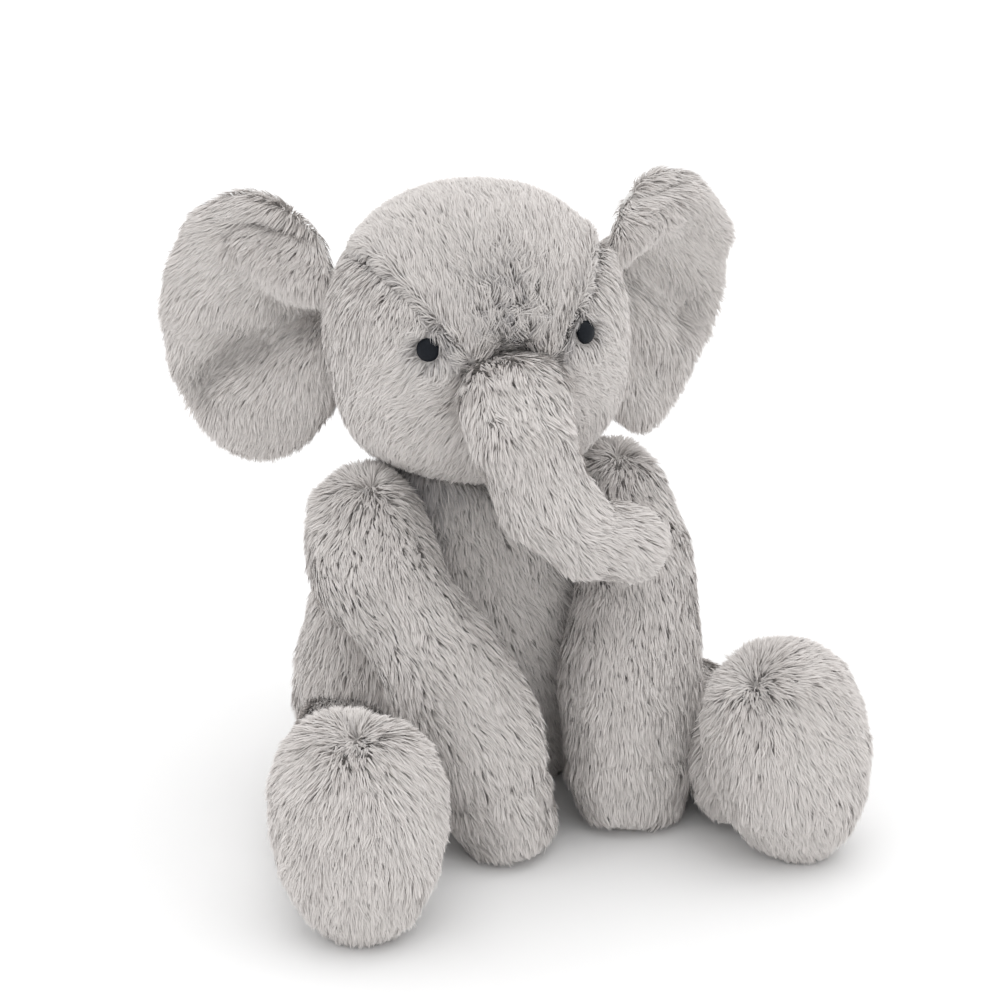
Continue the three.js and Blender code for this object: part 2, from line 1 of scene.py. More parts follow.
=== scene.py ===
"""The looks of a seated stuffed elephant: sewn skins of long-piled fur fabric, fibre fillings,
bead bags, and black locking eyes. Metres, +Z up. The elephant faces -Y and its left side is +X.

Each skin is one closed mesh, grown from the CAD solids of its body and then shaped by dents,
seams and swellings. The pile is real geometry: narrow bent blades that are rooted on the
skin, combed along it, and gathered into tufts."""

import json
import math

import bmesh
import bpy
import numpy as np
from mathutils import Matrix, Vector, bvhtree, kdtree


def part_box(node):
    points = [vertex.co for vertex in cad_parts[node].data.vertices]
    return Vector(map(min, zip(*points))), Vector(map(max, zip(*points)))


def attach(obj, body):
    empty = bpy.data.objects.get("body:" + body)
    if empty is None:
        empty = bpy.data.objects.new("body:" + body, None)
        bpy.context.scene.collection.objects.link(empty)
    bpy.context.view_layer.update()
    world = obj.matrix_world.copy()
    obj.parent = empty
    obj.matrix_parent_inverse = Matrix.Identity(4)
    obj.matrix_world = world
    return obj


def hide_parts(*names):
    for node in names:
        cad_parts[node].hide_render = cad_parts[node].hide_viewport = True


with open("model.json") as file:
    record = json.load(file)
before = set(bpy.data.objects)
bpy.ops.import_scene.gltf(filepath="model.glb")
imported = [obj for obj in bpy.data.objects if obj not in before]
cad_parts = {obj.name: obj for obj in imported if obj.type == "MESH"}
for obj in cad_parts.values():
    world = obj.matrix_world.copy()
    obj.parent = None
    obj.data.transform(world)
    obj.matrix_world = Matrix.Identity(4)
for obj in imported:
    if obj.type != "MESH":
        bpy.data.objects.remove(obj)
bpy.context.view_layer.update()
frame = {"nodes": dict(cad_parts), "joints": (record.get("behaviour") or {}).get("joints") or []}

MM = 0.001


def joint_place(body):
    """The point that a body turns about."""
    return np.array(next(joint["pos_m"] for joint in frame["joints"] if joint["child"] == body))


# ---------- Sizes ----------

HEAD_CENTRE = joint_place("head")
HEAD_RADIUS = 62 * MM
TRUNK_ROOT = joint_place("trunk")
FACE = TRUNK_ROOT - HEAD_CENTRE
HEAD_TURN = math.atan2(FACE[0], -FACE[1])
TRUNK_ROOT_RADIUS = 20 * MM
TRUNK_ROOT_FORWARD = 4 * MM   # how far in front of the head's surface the root's middle is
TRUNK_TOP = 5 * MM            # where the trunk's root ends, under the lip of the forehead
NECK_BARE = 3 * MM            # no pile grows on the torso this near to the head
LIMB_BARE = {"arm": 19 * MM, "leg": 23 * MM}  # nor this near to the middle of a limb's root

GUSSET_CORNER = np.array((29, -52, 17)) * MM  # in the plane of the solids' seam on the toy's left
GUSSET_WAY = np.array((0.86, 0.18, 0.48))     # across that plane, with x turned round for each side
SEAM_WIDTH = 3.2 * MM
BROW_HALF_WIDTH = TRUNK_ROOT_RADIUS - 3 * MM
WHORL = np.array((0, -58, 22)) * MM           # middle of the ruffled fur on the forehead
CHEEK_FLOW = np.array((0, -60, -8)) * MM      # the fur of the cheeks lies away from here

EAR_HALF_WIDTH = 40 * MM
EAR_HALF_HEIGHT = 57 * MM
EAR_HALF_THICKNESS = 7.5 * MM
EAR_CUP = 5 * MM             # how far the rim stands in front of the middle
EAR_GAP = 2.6 * MM
EAR_SWEEP = math.radians(28)
EAR_TUCK = 2 * MM
EAR_BACK = -4 * MM
EAR_RISE = -2 * MM

# Fuller places: ((across, back, up) from the root of a limb or the head's centre, height, radius),
# all in mm. Those of the head are the same on both sides.
HEAD_BULGES = [((34, -36, -36), 2.6, 26), ((50, -6, -32), 5, 22)]
ARM_BULGES = {
    "left": [((16, -14, -32), 3, 17), ((-27, -40, -66), 5, 24)],
    "right": [((-18, -8, -22), 6, 18), ((20, -44, -62), 3, 20)],
}
LEG_BULGES = {
    "left": [
        ((10, -80, -20), 10, 20), ((2, -92, -22), 10, 16), ((12, -86, 14), 9, 20), ((18, -98, 40), 5, 18),
    ],
    "right": [((-10, -80, -20), 6, 20)],
}
GATHERS = {                     # from the top of a foot to where its fur is gathered
    "left": np.array((-20, -7, -9)) * MM,
    "right": np.array((-4, -12, -5)) * MM,
}
SHOULDER_WHORL = np.array((0, -7, 16)) * MM  # from an arm's root to where its fur parts
FOOT_START = 70 * MM                         # how far from the hip the fur turns to the foot's
FOOT_FULL = 92 * MM

EYE_RADIUS = 4.9 * MM
EYE_DOME = 3.4 * MM
EYE_EDGE = 0.5 * MM
EYE_SEAT = 0.9 * MM           # how far its flat back stands off the head's sphere
EYE_STEM_RADIUS = 1.6 * MM
EYE_STEM_LENGTH = 9 * MM
EYE_TURNS = 48                # steps round the eye
DOME_STEPS = 12


PILE = 8.4 * MM               # length of a strand
TAIL_PILE = 7 * MM
PILE_STANDS = 0.4             # how high its tip stands, as a share of its length
STRAND_WIDTH = 0.66 * MM
TUFT_STRANDS = 9              # strands in a tuft
STRANDS = {                   # in each piece of pile
    "torso": 50000, "head": 52000, "trunk": 30000, "ear": 52000, "arm": 50000, "leg": 40000, "tail": 3500,
}

WAVE_TURN = 0.17              # how far the pile waves from its combed way, as a share of it
WAVE_SIZE = 10 * MM
RUFFLE_SIZE = 5 * MM          # size of the waves where it is ruffled
TUFT_TURN = 0.1               # how far a tuft turns from the others
STRAND_TURN = 0.12            # and a strand from its tuft
LEAN = (0.2, 0.3)             # how far a strand leans to its tuft's middle: the least, and the range
KNEE_PLACE = 0.27             # where a strand bends, as a share of its length
KNEE_HEIGHT = 0.72            # how much of its tip's height it has there
TIP_PLACE = 0.84
USUAL_TONE = 0.64
TONE_SPREAD = 0.1

SKIN_GRID = 2.4 * MM          # spacing of the vertices of a skin
TRUNK_GRID = 1.8 * MM
TAIL_GRID = 1.4 * MM
FILLING_GRID = 2.6 * MM
ROUNDING = 0.8 * MM           # what the CAD solids' flat facets lose of their round forms
SKIN_THICKNESS = 1.3 * MM
WADDING_GAP = 0.4 * MM
FLOOR_GAP = 0.2 * MM

SEED = 7

VIEW_AZIMUTH = math.radians(-22)  # from the toy's front, round to its right
VIEW_ELEVATION = math.radians(20)
VIEW_TARGET = (0, -0.04, 0.14)
VIEW_DISTANCE = 1.0
VIEW_WIDTH = 0.43             # what the frame spans at that distance
SENSOR_WIDTH = 36             # in camera millimetres


# ---------- Vectors ----------

def unit(vectors):
    """Vectors, one a row, at length 1."""
    return vectors / np.maximum(np.linalg.norm(vectors, axis=-1, keepdims=True), 1e-12)


def tangential(vectors, normals):
    """Vectors laid flat on a surface with those normals, at length 1."""
    return unit(vectors - (vectors * normals).sum(-1, keepdims=True) * normals)


def on_head(x, y, z):
    """Directions or offsets given with the face towards -Y, turned as the head is turned."""
    c, s = math.cos(HEAD_TURN), math.sin(HEAD_TURN)
    return np.stack((c * x - s * y, s * x + c * y, z), axis=-1)


def head_local(points):
    """Points as seen from the head's centre with the face towards -Y."""
    c, s = math.cos(HEAD_TURN), math.sin(HEAD_TURN)
    x, y, z = (points - HEAD_CENTRE).T
    return np.stack((c * x + s * y, -s * x + c * y, z), axis=-1)


def eye_axis(name):
    """The way that an eye looks."""
    low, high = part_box(f"eye_{name}")
    return unit(np.array((low + high) / 2) - HEAD_CENTRE)


def bump(distance, radius):
    """1 at no distance, falling smoothly to 0 at a few radii."""
    return np.exp(-((distance / radius) ** 2))


def step(value, low, high):
    """0 below low, 1 above high, smooth between."""
    share = np.clip((value - low) / (high - low), 0, 1)
    return share * share * (3 - 2 * share)


def waves(points, size, seed, channels=3):
    """Smooth noise of about unit strength whose lumps are about that size, one row a point."""
    rng = np.random.default_rng(seed)
    total = np.zeros((len(points), channels))
    count = 7
    for channel in range(channels):
        for _ in range(count):
            wave = unit(rng.normal(size=3)) * rng.uniform(0.6, 1.5) * math.pi / size
            total[:, channel] += np.sin(points @ wave + rng.uniform(0, 2 * math.pi))
    return total / math.sqrt(count / 2)


def near_line(points, line):
    """How far each point is from a polyline."""
    nearest = np.full(len(points), np.inf)
    for a, b in zip(line[:-1], line[1:]):
        share = np.clip(((points - a) @ (b - a)) / ((b - a) @ (b - a)), 0, 1)
        nearest = np.minimum(nearest, np.linalg.norm(points - a - share[:, None] * (b - a), axis=1))
    return nearest


def in_gusset(local):
    """How far inside the forehead gusset each point is, from its nearer seam."""
    away = [(local - GUSSET_CORNER * (side, 1, 1)) @ (GUSSET_WAY * (-side, 1, 1)) for side in (-1, 1)]
    return np.minimum(*away)


def seams(local):
    """1 on the two seams of the forehead gusset, falling to 0 beside them."""
    front = step(-local[:, 1], -14 * MM, -4 * MM)
    above_trunk = step(local[:, 2], -5 * MM, 1 * MM)
    return bump(in_gusset(local), SEAM_WIDTH) * front * above_trunk


def brow_line():
    """The lip of the forehead over the trunk's root."""
    height = TRUNK_TOP / 2
    places = [(x, height) for x in (-BROW_HALF_WIDTH, 0, BROW_HALF_WIDTH)]
    return [np.array((x, -math.sqrt(HEAD_RADIUS ** 2 - x ** 2 - z ** 2), z)) for x, z in places]


# ---------- Skins ----------

def new_object(name, data):
    """A new object in the scene."""
    obj = bpy.data.objects.new(name, data)
    bpy.context.scene.collection.objects.link(obj)
    return obj


def joined(nodes):
    """A copy of several CAD nodes as one shape."""
    shape = bmesh.new()
    for node in nodes:
        shape.from_mesh(frame["nodes"][node].data)
    return shape


def mesh_of(name, shape):
    """A finished shape as a mesh."""
    mesh = bpy.data.meshes.new(name)
    shape.to_mesh(mesh)
    shape.free()
    return mesh


def remeshed(name, nodes, grid):
    """One closed mesh of even small faces round several CAD nodes."""
    obj = new_object(name, mesh_of(name, joined(nodes)))
    modifier = obj.modifiers.new("remesh", "REMESH")
    modifier.mode = "VOXEL"
    modifier.voxel_size = grid
    bpy.context.view_layer.update()
    graph = bpy.context.evaluated_depsgraph_get()
    mesh = bpy.data.meshes.new_from_object(obj.evaluated_get(graph))
    obj.modifiers.clear()
    obj.data = mesh
    mesh.name = name
    mesh.materials.clear()
    return obj


def points_of(obj):
    """Its vertices, one a row."""
    co = np.empty(len(obj.data.vertices) * 3, np.float32)
    obj.data.vertices.foreach_get("co", co)
    return co.reshape(-1, 3).astype(float)


def normals_of(obj):
    """The ways out of it at its vertices."""
    co = np.empty(len(obj.data.vertices) * 3, np.float32)
    obj.data.vertex_normals.foreach_get("vector", co)
    return co.reshape(-1, 3).astype(float)


def set_points(obj, points):
    """Moves its vertices there."""
    obj.data.vertices.foreach_set("co", points.astype(np.float32).ravel())
    obj.data.update()


def relax(obj, rounds):
    """Smooths a mesh and gives back the size that smoothing takes."""
    edges = np.empty(len(obj.data.edges) * 2, np.int32)
    obj.data.edges.foreach_get("vertices", edges)
    a, b = edges.reshape(-1, 2).T
    points = points_of(obj)
    count = len(points)
    neighbours = np.bincount(a, minlength=count) + np.bincount(b, minlength=count)
    for _ in range(rounds):
        for share in (0.6, -0.61):
            middle = np.stack([
                np.bincount(a, points[b, i], count) + np.bincount(b, points[a, i], count)
                for i in range(3)
            ], axis=-1) / neighbours[:, None]
            points = points + share * (middle - points)
    set_points(obj, points)


def swell(obj, heights):
    """Moves every vertex out along its normal, by one height or by its own."""
    set_points(obj, points_of(obj) + np.reshape(heights, (-1, 1)) * normals_of(obj))


def bulge(obj, root, bulges):
    """Makes a limb fuller in places, which are listed as the sizes above say."""
    for offset, height, radius in bulges:
        away = np.linalg.norm(points_of(obj) - root - np.array(offset) * MM, axis=1)
        swell(obj, height * MM * bump(away, radius * MM))


def lumps(obj, height, size, seed):
    """The soft unevenness that stuffing gives."""
    swell(obj, height * waves(points_of(obj), size, seed, 1)[:, 0])


def on_floor(obj):
    """Lays what would sink into the floor flat on it."""
    points = points_of(obj)
    points[:, 2] = np.maximum(points[:, 2], FLOOR_GAP)
    set_points(obj, points)


def finished(obj, body, nodes, material):
    """A soft piece in its place: what it rides on, stands for and is made of."""
    obj.data.materials.append(material)
    obj.data.shade_smooth()
    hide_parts(*nodes)
    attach(obj, body)
    return obj


def keep_inside(obj, skin, room):
    """Draws in every vertex that is nearer to a skin's outside than the room under it."""
    tree = bvhtree.BVHTree.FromObject(skin, bpy.context.evaluated_depsgraph_get())
    points = points_of(obj)
    for index, point in enumerate(points):
        place, normal, _, _ = tree.find_nearest(Vector(point))
        if (Vector(point) - place).dot(normal) > -room:
            points[index] = place - normal * room
    set_points(obj, points)


def beside(points, nodes, reach):
    """1 where a point touches one of the nodes, falling to 0 a few reaches away."""
    shape = joined(nodes)
    tree = bvhtree.BVHTree.FromBMesh(shape)
    shape.free()
    away = np.array([tree.find_nearest(Vector(point))[3] for point in points])
    return bump(away, reach)


def centre_line(points, root, slices=12):
    """Points down the middle of a limb, from its root to its tip."""
    tip = points[np.argmax(np.linalg.norm(points - root, axis=1))]
    chord = tip - root
    share = ((points - root) @ chord) / (chord @ chord)
    places = np.linspace(0.04, 0.96, slices)
    return np.array([points[np.abs(share - place) < 0.5 / slices].mean(0) for place in places])


# ---------- Materials ----------

def principled(name, colour, roughness, sheen=0.0):
    """A material and its shader."""
    material = bpy.data.materials.new(name)
    material.use_nodes = True
    shader = material.node_tree.nodes["Principled BSDF"]
    shader.inputs["Base Color"].default_value = (*colour, 1)
    shader.inputs["Roughness"].default_value = roughness
    shader.inputs["Sheen Weight"].default_value = sheen
    return material, shader


def add_node(material, kind, **inputs):
    """A node with the values of its inputs."""
    node = material.node_tree.nodes.new(kind)
    for name, value in inputs.items():
        node.inputs[name.replace("_", " ")].default_value = value
    return node


def link(material, out, socket):
    """Joins an output to an input."""
    material.node_tree.links.new(out, socket)


def ramp(material, stops):
    """A colour ramp: [(place, colour), ...]."""
    node = material.node_tree.nodes.new("ShaderNodeValToRGB")
    elements = node.color_ramp.elements
    while len(elements) < len(stops):
        elements.new(0.5)
    for element, (place, colour) in zip(elements, stops):
        element.position = place
        element.color = (*colour, 1)
    return node


def bumpy(material, shader, height, strength, distance):
    """Fine relief from a texture."""
    node = add_node(material, "ShaderNodeBump", Strength=strength, Distance=distance)
    link(material, height, node.inputs["Height"])
    link(material, node.outputs["Normal"], shader.inputs["Normal"])


STRAND_ROOT = (0.56, 0.535, 0.52)
STRAND_MIDDLE = (0.70, 0.67, 0.65)
STRAND_TIP = (0.83, 0.80, 0.78)
# Tones to multiply the strands by: each strand's own random tone, lowered in places by the painted shade
# that pile() gives.
STRAND_TONES = [(0, (0.45, 0.45, 0.47)), (0.45, (0.92, 0.915, 0.91)), (1, (1.07, 1.06, 1.06))]


def strand_material():
    """Pile that is dark at its roots and pale at its tips, with each strand its own tone, which pile()
    lowers in places as painted shade.
    """
    material, shader = principled("fur_pile", STRAND_TIP, 0.75, sheen=0.2)
    uv = add_node(material, "ShaderNodeUVMap")
    uv.uv_map = "OFBake"
    parts = add_node(material, "ShaderNodeSeparateXYZ")
    link(material, uv.outputs["UV"], parts.inputs["Vector"])
    along = ramp(material, [(0, STRAND_ROOT), (0.5, STRAND_MIDDLE), (0.95, STRAND_TIP)])
    link(material, parts.outputs["Y"], along.inputs["Fac"])
    tone = ramp(material, STRAND_TONES)
    link(material, parts.outputs["X"], tone.inputs["Fac"])
    mix = add_node(material, "ShaderNodeMix")
    mix.data_type = "RGBA"
    mix.blend_type = "MULTIPLY"
    mix.inputs["Factor"].default_value = 1
    link(material, along.outputs["Color"], mix.inputs["A"])
    link(material, tone.outputs["Color"], mix.inputs["B"])
    link(material, mix.outputs["Result"], shader.inputs["Base Color"])
    return material


def backing_material():
    """The knitted backing that the pile grows from."""
    material, shader = principled("fur_backing", STRAND_ROOT, 0.9)
    noise = add_node(material, "ShaderNodeTexNoise", Scale=900.0, Detail=3.0)
    where = add_node(material, "ShaderNodeTexCoord")
    link(material, where.outputs["Object"], noise.inputs["Vector"])
    shade = ramp(material, [(0.3, (0.49, 0.47, 0.455)), (0.7, (0.59, 0.565, 0.55))])
    link(material, noise.outputs["Fac"], shade.inputs["Fac"])
    link(material, shade.outputs["Color"], shader.inputs["Base Color"])
    bumpy(material, shader, noise.outputs["Fac"], 0.5, 0.0006)
    return material


def fibre_material():
    """Tangled white polyester fibre."""
    material, shader = principled("fibre", (0.84, 0.83, 0.8), 0.95, sheen=0.3)
    noise = add_node(material, "ShaderNodeTexNoise", Scale=220.0, Detail=6.0, Distortion=2.5)
    where = add_node(material, "ShaderNodeTexCoord")
    link(material, where.outputs["Object"], noise.inputs["Vector"])
    shade = ramp(material, [(0.3, (0.72, 0.71, 0.69)), (0.65, (0.88, 0.87, 0.85))])
    link(material, noise.outputs["Fac"], shade.inputs["Fac"])
    link(material, shade.outputs["Color"], shader.inputs["Base Color"])
    bumpy(material, shader, noise.outputs["Fac"], 0.8, 0.001)
    return material


def bead_cloth_material():
    """Plain cotton, pushed out from inside by the beads."""
    material, shader = principled("bead_cloth", (0.68, 0.65, 0.6), 0.85)
    where = add_node(material, "ShaderNodeTexCoord")
    beads = add_node(material, "ShaderNodeTexVoronoi", Scale=260.0)
    weave = add_node(material, "ShaderNodeTexNoise", Scale=1500.0)
    for texture in (beads, weave):
        link(material, where.outputs["Object"], texture.inputs["Vector"])
    shade = ramp(material, [(0.3, (0.6, 0.57, 0.52)), (0.7, (0.73, 0.7, 0.65))])
    link(material, weave.outputs["Fac"], shade.inputs["Fac"])
    link(material, shade.outputs["Color"], shader.inputs["Base Color"])
    bumpy(material, shader, beads.outputs["Distance"], 0.6, 0.001)
    return material


def moulded_material(name, colour, roughness, specular=0.5):
    """Moulded plastic with a faintly uneven surface."""
    material, shader = principled(name, colour, roughness)
    shader.inputs["Specular IOR Level"].default_value = specular
    noise = add_node(material, "ShaderNodeTexNoise", Scale=700.0, Detail=2.0)
    where = add_node(material, "ShaderNodeTexCoord")
    link(material, where.outputs["Object"], noise.inputs["Vector"])
    low = tuple(c * 0.85 for c in colour)
    high = tuple(min(c * 1.15, 1) for c in colour)
    shade = ramp(material, [(0.35, low), (0.65, high)])
    link(material, noise.outputs["Fac"], shade.inputs["Fac"])
    link(material, shade.outputs["Color"], shader.inputs["Base Color"])
    bumpy(material, shader, noise.outputs["Fac"], 0.1, 0.0002)
    return material


def thread_material():
    """Twisted polyester thread."""
    material, shader = principled("thread", (0.38, 0.36, 0.34), 0.7)
    where = add_node(material, "ShaderNodeTexCoord")
    twist = add_node(material, "ShaderNodeTexWave", Scale=900.0, Distortion=1.0)
    link(material, where.outputs["Object"], twist.inputs["Vector"])
    shade = ramp(material, [(0.2, (0.3, 0.28, 0.27)), (0.8, (0.44, 0.42, 0.4))])
    link(material, twist.outputs["Fac"], shade.inputs["Fac"])
    link(material, shade.outputs["Color"], shader.inputs["Base Color"])
    bumpy(material, shader, twist.outputs["Fac"], 0.5, 0.0003)
    return material


PILE_MATERIAL = strand_material()
BACKING = backing_material()
FIBRE = fibre_material()
BEAD_CLOTH = bead_cloth_material()
EYE_PLASTIC = moulded_material("eye_plastic", (0.007, 0.009, 0.013), 0.5, specular=0.15)
WASHER_PLASTIC = moulded_material("washer_plastic", (0.79, 0.8, 0.82), 0.4)
THREAD = thread_material()


# ---------- Pile ----------

def rooted(skin, count, rng):
    """Places spread evenly over a skin, with the way out of it at each."""
    mesh = skin.data
    mesh.calc_loop_triangles()
    corners = np.empty(len(mesh.loop_triangles) * 3, np.int32)
    mesh.loop_triangles.foreach_get("vertices", corners)
    corners = corners.reshape(-1, 3)
    points, normals = points_of(skin), normals_of(skin)
    a, b, c = (points[corners[:, i]] for i in range(3))
    areas = np.linalg.norm(np.cross(b - a, c - a), axis=1)
    chosen = rng.choice(len(corners), count, p=areas / areas.sum())
    u, v = rng.random((2, count))
    fold = u + v > 1
    u[fold], v[fold] = 1 - u[fold], 1 - v[fold]
    shares = np.stack((1 - u - v, u, v), axis=-1)[:, :, None]
    return (points[corners[chosen]] * shares).sum(1), unit((normals[corners[chosen]] * shares).sum(1))


def nearest_tuft(roots, tufts):
    """The tuft that each strand belongs to."""
    tree = kdtree.KDTree(len(tufts))
    for index, tuft in enumerate(tufts):
        tree.insert(roots[tuft], index)
    tree.balance()
    return np.array([tufts[tree.find(root)[1]] for root in roots])


def pile(name, skin, body, count, comb, ruffle=None, bare=None, shaded=None, length=PILE, seed=0):
    """A piece of pile on a skin. comb gives the way that it lies, ruffle how far it stands up in
    disorder, from 0 to 1, which also darkens it as painted shade, bare where none grows, and shaded
    how much painted shade darkens it."""
    rng = np.random.default_rng(SEED + seed)
    roots, normals = rooted(skin, count, rng)
    if bare is not None:
        grows = ~bare(roots)
        roots, normals = roots[grows], normals[grows]
    total = len(roots)
    messy = np.zeros(total) if ruffle is None else np.clip(ruffle(roots), 0, 1)
    messy = messy[:, None]
    lie = unit(comb(roots, normals)) + WAVE_TURN * waves(roots, WAVE_SIZE, SEED + seed + 1)
    lie = lie * (1 - 0.6 * messy) + messy * 0.3 * waves(roots, RUFFLE_SIZE, SEED + seed + 2)
    tufts = rng.choice(total, total // TUFT_STRANDS, replace=False)
    owner = nearest_tuft(roots, tufts)
    tuft_turn = rng.normal(size=(total, 3)) * (TUFT_TURN + 0.12 * messy)
    own_turn = rng.normal(size=(total, 3)) * STRAND_TURN
    lie = tangential(lie + tuft_turn[owner] + own_turn, normals)
    reach = length * (1 + 0.1 * rng.normal(size=(total, 1))) * (1 + 0.12 * tuft_turn[owner][:, :1])
    reach = reach * (1 - 0.36 * messy)
    stands = PILE_STANDS * (1 + 0.13 * rng.normal(size=(total, 1)) + 1.1 * messy)
    middle = roots + reach * (KNEE_PLACE * lie + KNEE_HEIGHT * stands * normals)
    tip = roots + reach * (TIP_PLACE * lie + stands * normals)
    gather = (LEAN[0] + LEAN[1] * rng.random((total, 1))) * (1 - 0.2 * messy)
    middle += 0.4 * gather * (middle[owner] - middle)
    tip += gather * (tip[owner] - tip)
    across = unit(np.cross(tip - roots, normals))
    twist = rng.uniform(-0.55, 0.55, (total, 1))
    over = unit(np.cross(across, tip - roots))
    across = across * np.cos(twist) + over * np.sin(twist)
    width = STRAND_WIDTH / 2 * rng.uniform(0.75, 1.2, (total, 1))
    corners = np.stack((
        roots - across * width, roots + across * width,
        middle + across * width * 0.9, middle - across * width * 0.9, tip,
    ), axis=1)
    corners[:, :, 2] = np.maximum(corners[:, :, 2], FLOOR_GAP)
    # The tone is each strand's own random tone, lowered by painted shade where the pile is ruffled and
    # where shaded says.
    tone = USUAL_TONE + TONE_SPREAD * rng.normal(size=total) + 0.06 * tuft_turn[owner][:, 1] / TUFT_TURN
    tone -= 0.36 * messy[:, 0] + (0 if shaded is None else shaded(roots))
    return pile_object(name, corners, np.clip(tone, 0.01, 0.99), body)


def pile_object(name, corners, tone, body):
    """The blades of a piece of pile as a mesh."""
    total = len(corners)
    first = 5 * np.arange(total)[:, None]
    quads = first + np.array((0, 1, 2, 3))
    points = first + np.array((3, 2, 4))
    loops = np.concatenate((quads, points), axis=1).ravel()
    sizes = np.tile((4, 3), total)
    starts = np.concatenate(((0,), np.cumsum(sizes)[:-1]))
    mesh = bpy.data.meshes.new(name)
    mesh.vertices.add(5 * total)
    mesh.vertices.foreach_set("co", corners.astype(np.float32).ravel())
    mesh.loops.add(len(loops))
    mesh.loops.foreach_set("vertex_index", loops.astype(np.int32))
    mesh.polygons.add(2 * total)
    mesh.polygons.foreach_set("loop_start", starts.astype(np.int32))
    mesh.update(calc_edges=True)
    heights = np.array((0.02, 0.02, 0.5, 0.5, 0.98))
    uv = np.empty((total, 5, 2))
    uv[:, :, 0] = tone[:, None]
    uv[:, :, 1] = heights
    layer = mesh.uv_layers.new(name="OFBake")
    layer.data.foreach_set("uv", uv.reshape(-1, 2)[loops].astype(np.float32).ravel())
    mesh.shade_smooth()
    obj = new_object(name, mesh)
    mesh.materials.append(PILE_MATERIAL)
    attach(obj, body)
    return obj


def along_line(line):
    """A comb that lies along a limb's middle line."""
    ways = unit(np.gradient(line, axis=0))

    def comb(points, normals):
        reach = np.linalg.norm(points[:, None] - line[None], axis=2)
        weight = np.exp(-(reach - reach.min(1, keepdims=True)) / (4 * MM))
        return tangential(weight @ ways / weight.sum(1, keepdims=True), normals)
    return comb


# ---------- Sub-parts ----------

def soft_filling(name, node, body, material, seed):
    """A lump of filling, or a bag of beads, in the place of its CAD solid."""
    obj = remeshed(name, [node], FILLING_GRID)
    relax(obj, 6)
    swell(obj, -0.3 * MM + 0.25 * MM * waves(points_of(obj), 7 * MM, seed, 1)[:, 0])
    keep_inside(obj, bpy.data.objects[f"{body}_skin"], SKIN_THICKNESS)
    return finished(obj, body, [node], material)


def torso():
    """The torso, flat where it sits."""
    panels = ["seat_panel", "torso_front_panel", "torso_back_panel"]
    inside = ["torso_filling", "seat_bead_bag"]
    skin = remeshed("torso_skin", panels + inside, SKIN_GRID)
    relax(skin, 25)
    swell(skin, ROUNDING)
    lumps(skin, 1.0 * MM, 34 * MM, 11)
    on_floor(skin)
    finished(skin, "torso", panels, BACKING)
    roots = [
        (joint_place(f"{limb}_{side}"), radius)
        for limb, radius in LIMB_BARE.items() for side in ("left", "right")
    ]

    def comb(points, normals):
        way = np.tile((0.25, 0, -1.0), (len(points), 1))
        way[:, 0] += 6 * points[:, 0]
        return tangential(way, normals)

    def bare(points):
        hidden = np.linalg.norm(points - HEAD_CENTRE, axis=1) < HEAD_RADIUS + NECK_BARE
        for centre, radius in roots:
            hidden |= np.linalg.norm(points - centre, axis=1) < radius
        return hidden

    # Painted shade: the pile is darker under the head and in the gaps beside the arms.
    def shaded(points):
        shade_under_head = bump(np.linalg.norm(points - HEAD_CENTRE, axis=1) - HEAD_RADIUS, 16 * MM)
        shade_beside_arms = beside(points, ["arm_left_inner_panel", "arm_right_inner_panel"], 13 * MM)
        return 0.36 * shade_under_head + 0.6 * shade_beside_arms

    for index in range(2):
        pile(f"torso_pile_{index + 1}", skin, "torso", STRANDS["torso"], comb,
             bare=bare, shaded=shaded, seed=20 + index)


